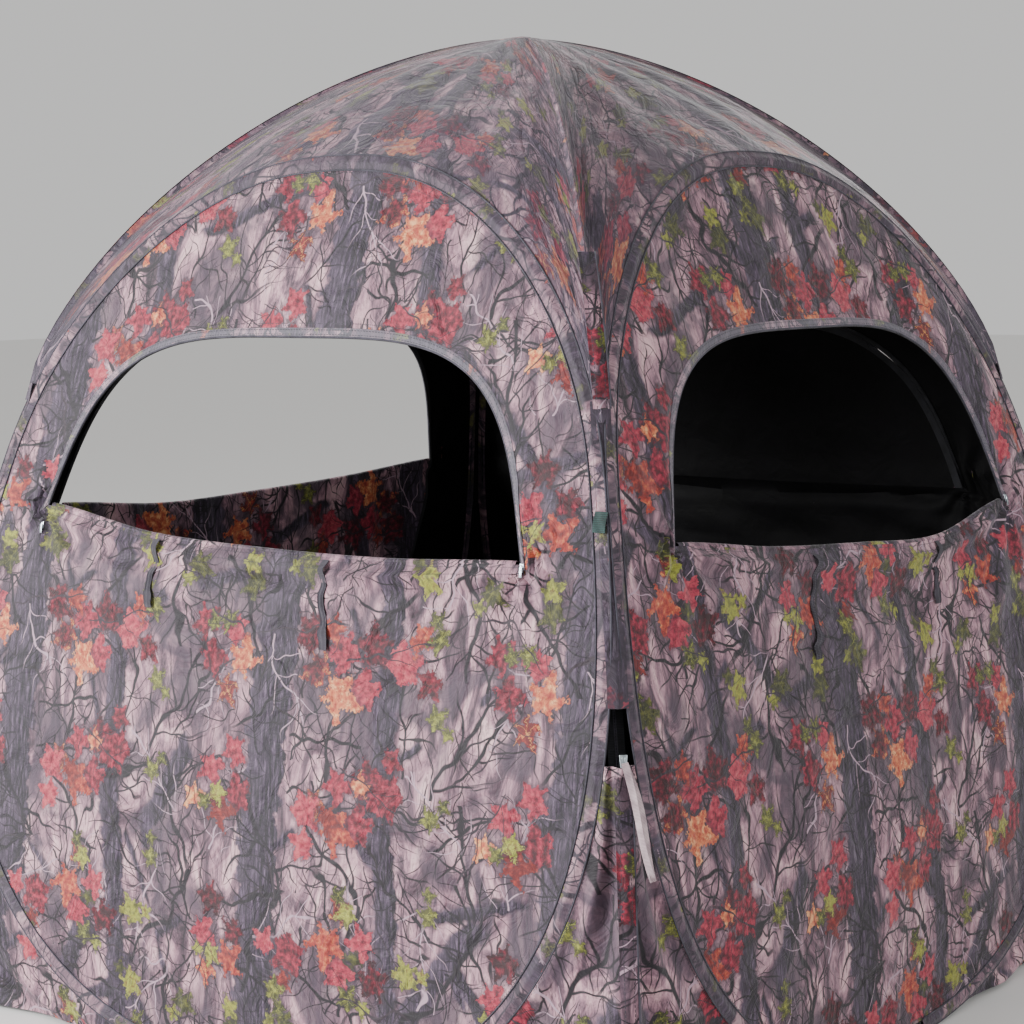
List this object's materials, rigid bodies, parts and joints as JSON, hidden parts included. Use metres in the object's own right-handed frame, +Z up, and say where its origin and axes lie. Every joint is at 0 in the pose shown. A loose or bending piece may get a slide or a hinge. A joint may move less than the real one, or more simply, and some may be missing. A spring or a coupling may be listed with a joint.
{
  "type": "pop up ground blind",
  "caption": "Square pop-up ground blind: sprung hoops in fabric sleeves, leaning printed walls with zipped drop windows, domed roof and zipped corner door.",
  "frame": {"origin": "middle of the floor plan, on the ground", "axes": "+Z up; the front wall faces -Y and the right wall faces +X, with the zipped door on the corner between them"},
  "size_m": [1.66, 1.66, 1.7005],
  "materials": {
    "camouflage_cloth": null,
    "window_cloth": "printed outside, black coated inside, matte",
    "zip_tape": "black woven zip tape with nylon coil",
    "webbing": "dark woven webbing",
    "pull_ribbon": "pale woven ribbon",
    "spring_steel": "blued, oiled",
    "zinc": "die cast, nickel plated, worn"
  },
  "bodies": {
    "shell": {"crown_patch": "camouflage_cloth", "door_storm_lower": "camouflage_cloth", "door_storm_upper": "camouflage_cloth", "door_tab": "webbing", "door_zip_left": "zip_tape", "door_zip_right": "zip_tape", "ferrule_back": "zinc", "ferrule_front": "zinc", "ferrule_left": "zinc", "ferrule_right": "zinc", "gusset_back_left": "camouflage_cloth", "gusset_back_right": "camouflage_cloth", "gusset_front_left": "camouflage_cloth", "gusset_front_right_left": "camouflage_cloth", "gusset_front_right_right": "camouflage_cloth", "hoop_back": "spring_steel", "hoop_front": "spring_steel", "hoop_left": "spring_steel", "hoop_right": "spring_steel", "panel_back": "camouflage_cloth", "panel_front": "camouflage_cloth", "panel_left": "camouflage_cloth", "panel_right": "camouflage_cloth", "roof_gore_back": "camouflage_cloth", "roof_gore_front": "camouflage_cloth", "roof_gore_left": "camouflage_cloth", "roof_gore_right": "camouflage_cloth", "sleeve_back": "camouflage_cloth", "sleeve_front": "camouflage_cloth", "sleeve_left": "camouflage_cloth", "sleeve_right": "camouflage_cloth", "stake_tab_back_left": "webbing", "stake_tab_back_right": "webbing", "stake_tab_front_left": "webbing", "stake_tab_front_right": "webbing", "window_slider_back_1": "zinc", "window_slider_back_2": "zinc", "window_slider_front_1": "zinc", "window_slider_front_2": "zinc", "window_slider_left_1": "zinc", "window_slider_left_2": "zinc", "window_slider_right_1": "zinc", "window_slider_right_2": "zinc", "window_zip_back": "zip_tape", "window_zip_front": "zip_tape", "window_zip_left": "zip_tape", "window_zip_right": "zip_tape"},
    "front_flap": {"flap_front": "window_cloth", "flap_zip_front": "zip_tape"},
    "right_flap": {"flap_right": "window_cloth", "flap_zip_right": "zip_tape"},
    "back_flap": {"flap_back": "window_cloth", "flap_zip_back": "zip_tape"},
    "left_flap": {"flap_left": "window_cloth", "flap_zip_left": "zip_tape"},
    "upper_slider": {"door_slider_upper": "zinc"},
    "upper_pull": {"door_pull_upper": "zinc"},
    "lower_slider": {"door_slider_lower": "zinc"},
    "ribbon_pull": {"door_ribbon": "pull_ribbon"}
  },
  "joints": [
    {"name": "front_window_fold", "type": "hinge", "parent": "shell", "child": "front_flap", "pos_m": [0, -0.68255, 0.845], "axis": [1, 0, 0], "range_deg": [0, 164.5]},
    {"name": "right_window_fold", "type": "hinge", "parent": "shell", "child": "right_flap", "pos_m": [0.68255, 0, 0.845], "axis": [0, 1, 0], "range_deg": [0, 164.5]},
    {"name": "back_window_fold", "type": "hinge", "parent": "shell", "child": "back_flap", "pos_m": [0, 0.68255, 0.845], "axis": [1, 0, 0], "range_deg": [0, 164.5]},
    {"name": "left_window_fold", "type": "hinge", "parent": "shell", "child": "left_flap", "pos_m": [-0.68255, 0, 0.845], "axis": [0, -1, 0], "range_deg": [0, 164.5]},
    {"name": "door_zip_upper_travel", "type": "slide", "parent": "shell", "child": "upper_slider", "axis": [-0.2582, 0.2582, 0.9309], "range_m": [-0.11, 0.58]},
    {"name": "door_pull_swing", "type": "hinge", "parent": "upper_slider", "child": "upper_pull", "pos_m": [0.66023, -0.66023, 0.73305], "axis": [0.7071, 0.7071, 0], "range_deg": [0, 75]},
    {"name": "door_zip_lower_travel", "type": "slide", "parent": "shell", "child": "lower_slider", "axis": [0.0852, -0.0852, -0.9927], "range_m": [0, 0.56], "deforming": ["door_ribbon"]},
    {"name": "door_ribbon_swing", "type": "hinge", "parent": "lower_slider", "child": "ribbon_pull", "pos_m": [0.75217, -0.75217, 0.60603], "axis": [0.702, -0.702, 0.1205], "range_deg": [-40, 20]}
  ]
}
